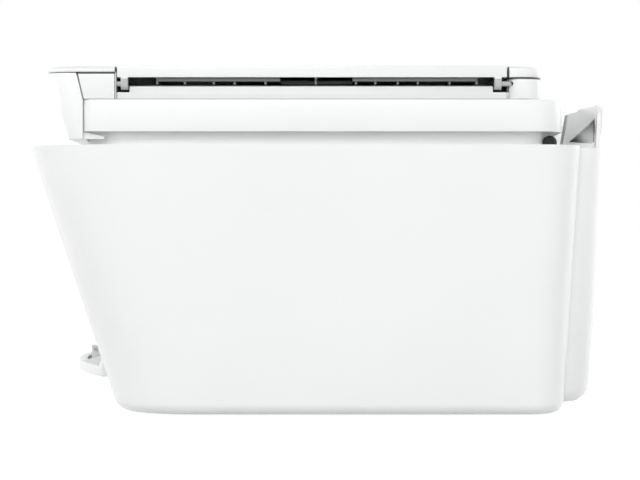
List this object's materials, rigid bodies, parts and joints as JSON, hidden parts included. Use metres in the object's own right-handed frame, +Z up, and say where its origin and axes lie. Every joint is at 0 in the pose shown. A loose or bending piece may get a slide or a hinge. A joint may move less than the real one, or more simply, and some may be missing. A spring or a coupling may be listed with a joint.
{
  "type": "inkjet printer",
  "caption": "Desktop all-in-one inkjet printer: tapered white case, flatbed scanner, lid with a document feeder, rear paper input and front output tray.",
  "frame": {"origin": "centre of the bounding box's bottom face, on the table under the feet", "axes": "+Z up, -Y towards the user (front), +X to the printer's own left as seen from the back, which is the user's right"},
  "size_m": [0.428, 0.3324, 0.2],
  "materials": {
    "white_shell": "satin moulded white plastic",
    "white_small": "satin white plastic, small parts",
    "grey_plastic": "fine-grained light grey plastic",
    "dark_plastic": "black moulded plastic",
    "zinc_sheet": "zinc-plated sheet steel",
    "steel": "ground steel",
    "rubber": "matte black rubber",
    "clear_film": "clear film",
    "glass": "clear float glass",
    "screen": "dark glossy display",
    "circuit_board": "green circuit board",
    "white_pad": "soft white foam sheet",
    "felt_tray": "dark tray with felt",
    "black_cartridge": "black cartridge shell",
    "colour_cartridge": "blue-grey cartridge shell"
  },
  "bodies": {
    "printer": {"base_pan": "grey_plastic", "outer_case": "white_shell", "rear_cover": "white_shell", "top_deck": "white_shell", "front_bezel": "dark_plastic", "front_fascia": "white_shell", "control_panel": "grey_plastic", "display": "screen", "rubber_feet": "rubber", "chassis_frame": "zinc_sheet", "carriage_rail": "steel", "encoder_strip": "clear_film", "platen": "dark_plastic", "main_board": "circuit_board", "power_supply": "zinc_sheet", "power_inlet": "dark_plastic", "usb_port": "zinc_sheet", "paper_chute": "grey_plastic", "drive_motors": "steel", "ink_absorber": "felt_tray", "case_screws": "steel", "carriage_belt": "rubber", "scanner_tub": "white_shell", "scanner_bezel": "dark_plastic", "scanner_glass": "glass", "scan_rod": "steel"},
    "carriage": {"print_carriage": "dark_plastic", "black_cartridge": "black_cartridge", "colour_cartridge": "colour_cartridge"},
    "black_latch": {"black_latch": "white_small"},
    "colour_latch": {"colour_latch": "white_small"},
    "feed": {"feed_roller": "rubber", "feed_gear": "white_small"},
    "exit": {"exit_roller": "rubber"},
    "pick": {"pick_roller": "rubber"},
    "motor_pulley": {"motor_pulley": "dark_plastic"},
    "idler_pulley": {"idler_pulley": "dark_plastic"},
    "sled": {"service_sled": "dark_plastic"},
    "scan_head": {"scan_head": "dark_plastic"},
    "lid": {"lid_base": "white_shell", "lid_pad": "white_pad", "feeder_front_cap": "white_shell", "feeder_rear_cap": "white_shell"},
    "feeder_cover": {"feeder_cover": "white_shell"},
    "feeder_pick": {"feeder_pick_roller": "rubber"},
    "feeder_feed": {"feeder_feed_roller": "rubber"},
    "document_tray": {"document_tray": "white_shell"},
    "feeder_guide_front": {"feeder_front_guide": "grey_plastic"},
    "feeder_guide_rear": {"feeder_rear_guide": "grey_plastic"},
    "input_tray": {"input_tray": "white_shell"},
    "input_guide_left": {"input_guide_left": "grey_plastic"},
    "input_guide_right": {"input_guide_right": "grey_plastic"},
    "output_tray": {"output_tray": "white_shell"},
    "tray_catch": {"tray_catch": "grey_plastic"},
    "cartridge_door": {"cartridge_door": "white_shell"},
    "power_button": {"power_button": "white_small"},
    "wireless_button": {"wireless_button": "white_small"},
    "cancel_button": {"cancel_button": "white_small"},
    "copy_button": {"copy_button": "white_small"},
    "colour_copy_button": {"colour_copy_button": "white_small"}
  },
  "joints": [
    {"name": "lid_hinge", "type": "hinge", "parent": "printer", "child": "lid", "pos_m": [0, 0.121, 0.185], "axis": [-1, 0, 0], "range_deg": [0, 70]},
    {"name": "feeder_cover_hinge", "type": "hinge", "parent": "lid", "child": "feeder_cover", "pos_m": [-0.2015, 0, 0.19], "axis": [0, -1, 0], "range_deg": [0, 80]},
    {"name": "document_tray_hinge", "type": "hinge", "parent": "lid", "child": "document_tray", "pos_m": [0.2015, 0, 0.19], "axis": [0, 1, 0], "range_deg": [0, 112]},
    {"name": "feeder_pick_turn", "type": "hinge", "parent": "lid", "child": "feeder_pick", "pos_m": [-0.125, 0, 0.189], "axis": [0, 1, 0], "continuous": true},
    {"name": "feeder_feed_turn", "type": "hinge", "parent": "lid", "child": "feeder_feed", "pos_m": [-0.15, 0, 0.189], "axis": [0, 1, 0], "continuous": true},
    {"name": "feeder_front_guide_slide", "type": "slide", "parent": "lid", "child": "feeder_guide_front", "axis": [0, 1, 0], "range_m": [0, 0.047]},
    {"name": "feeder_rear_guide_slide", "type": "slide", "parent": "lid", "child": "feeder_guide_rear", "axis": [0, -1, 0], "range_m": [0, 0.047]},
    {"name": "cartridge_door_hinge", "type": "hinge", "parent": "printer", "child": "cartridge_door", "pos_m": [0, -0.14187, 0.09629], "axis": [1, 0, 0], "range_deg": [0, 75]},
    {"name": "output_tray_slide", "type": "slide", "parent": "printer", "child": "output_tray", "axis": [0, -1, 0], "range_m": [0, 0.08]},
    {"name": "tray_catch_hinge", "type": "hinge", "parent": "output_tray", "child": "tray_catch", "pos_m": [0, -0.147, 0.0308], "axis": [1, 0, 0], "range_deg": [0, 160]},
    {"name": "input_tray_slide", "type": "slide", "parent": "printer", "child": "input_tray", "axis": [0, 0.0607, 0.9982], "range_m": [0, 0.09]},
    {"name": "input_guide_left_slide", "type": "slide", "parent": "printer", "child": "input_guide_left", "axis": [1, 0, 0], "range_m": [0, 0.053]},
    {"name": "input_guide_right_slide", "type": "slide", "parent": "printer", "child": "input_guide_right", "axis": [-1, 0, 0], "range_m": [0, 0.053]},
    {"name": "carriage_slide", "type": "slide", "parent": "printer", "child": "carriage", "axis": [-1, 0, 0], "range_m": [0, 0.288]},
    {"name": "motor_pulley_turn", "type": "hinge", "parent": "printer", "child": "motor_pulley", "pos_m": [-0.172, 0, 0.084], "axis": [0, 1, 0], "range_deg": [-2600, 10]},
    {"name": "idler_pulley_turn", "type": "hinge", "parent": "printer", "child": "idler_pulley", "pos_m": [0.172, 0, 0.084], "axis": [0, 1, 0], "range_deg": [-2600, 10]},
    {"name": "black_latch_hinge", "type": "hinge", "parent": "carriage", "child": "black_latch", "pos_m": [0.13, 0.03, 0.099], "axis": [-1, 0, 0], "range_deg": [0, 60]},
    {"name": "colour_latch_hinge", "type": "hinge", "parent": "carriage", "child": "colour_latch", "pos_m": [0.164, 0.03, 0.099], "axis": [-1, 0, 0], "range_deg": [0, 60]},
    {"name": "feed_roller_turn", "type": "hinge", "parent": "printer", "child": "feed", "pos_m": [0, 0.038, 0.0545], "axis": [1, 0, 0], "continuous": true},
    {"name": "exit_roller_turn", "type": "hinge", "parent": "printer", "child": "exit", "pos_m": [0, 0.002, 0.0555], "axis": [1, 0, 0], "continuous": true},
    {"name": "pick_roller_turn", "type": "hinge", "parent": "printer", "child": "pick", "pos_m": [0, 0.09216, 0.10227], "axis": [1, 0, 0], "continuous": true},
    {"name": "service_sled_slide", "type": "slide", "parent": "printer", "child": "sled", "axis": [1, 0, 0], "range_m": [0, 0.007]},
    {"name": "scan_head_slide", "type": "slide", "parent": "printer", "child": "scan_head", "axis": [1, 0, 0], "range_m": [0, 0.3]},
    {"name": "power_press", "type": "slide", "parent": "printer", "child": "power_button", "axis": [0, 0.9573, 0.289], "range_m": [0, 0.0007], "stiffness_N_per_m": 300, "springref_m": -0.002},
    {"name": "wireless_press", "type": "slide", "parent": "printer", "child": "wireless_button", "axis": [0, 0.9573, 0.289], "range_m": [0, 0.0007], "stiffness_N_per_m": 300, "springref_m": -0.002},
    {"name": "cancel_press", "type": "slide", "parent": "printer", "child": "cancel_button", "axis": [0, 0.9573, 0.289], "range_m": [0, 0.0007], "stiffness_N_per_m": 300, "springref_m": -0.002},
    {"name": "copy_press", "type": "slide", "parent": "printer", "child": "copy_button", "axis": [0, 0.9573, 0.289], "range_m": [0, 0.0007], "stiffness_N_per_m": 300, "springref_m": -0.002},
    {"name": "colour_copy_press", "type": "slide", "parent": "printer", "child": "colour_copy_button", "axis": [0, 0.9573, 0.289], "range_m": [0, 0.0007], "stiffness_N_per_m": 300, "springref_m": -0.002}
  ],
  "couplings": [
    {"joint": "feeder_feed_turn", "follows": "feeder_pick_turn", "ratio": 1},
    {"joint": "feeder_rear_guide_slide", "follows": "feeder_front_guide_slide", "ratio": 1},
    {"joint": "input_guide_right_slide", "follows": "input_guide_left_slide", "ratio": 1},
    {"joint": "motor_pulley_turn", "follows": "carriage_slide", "rad_per_m": -150},
    {"joint": "idler_pulley_turn", "follows": "carriage_slide", "rad_per_m": -150},
    {"joint": "exit_roller_turn", "follows": "feed_roller_turn", "ratio": 1.3333},
    {"joint": "pick_roller_turn", "follows": "feed_roller_turn", "ratio": -0.4286}
  ]
}
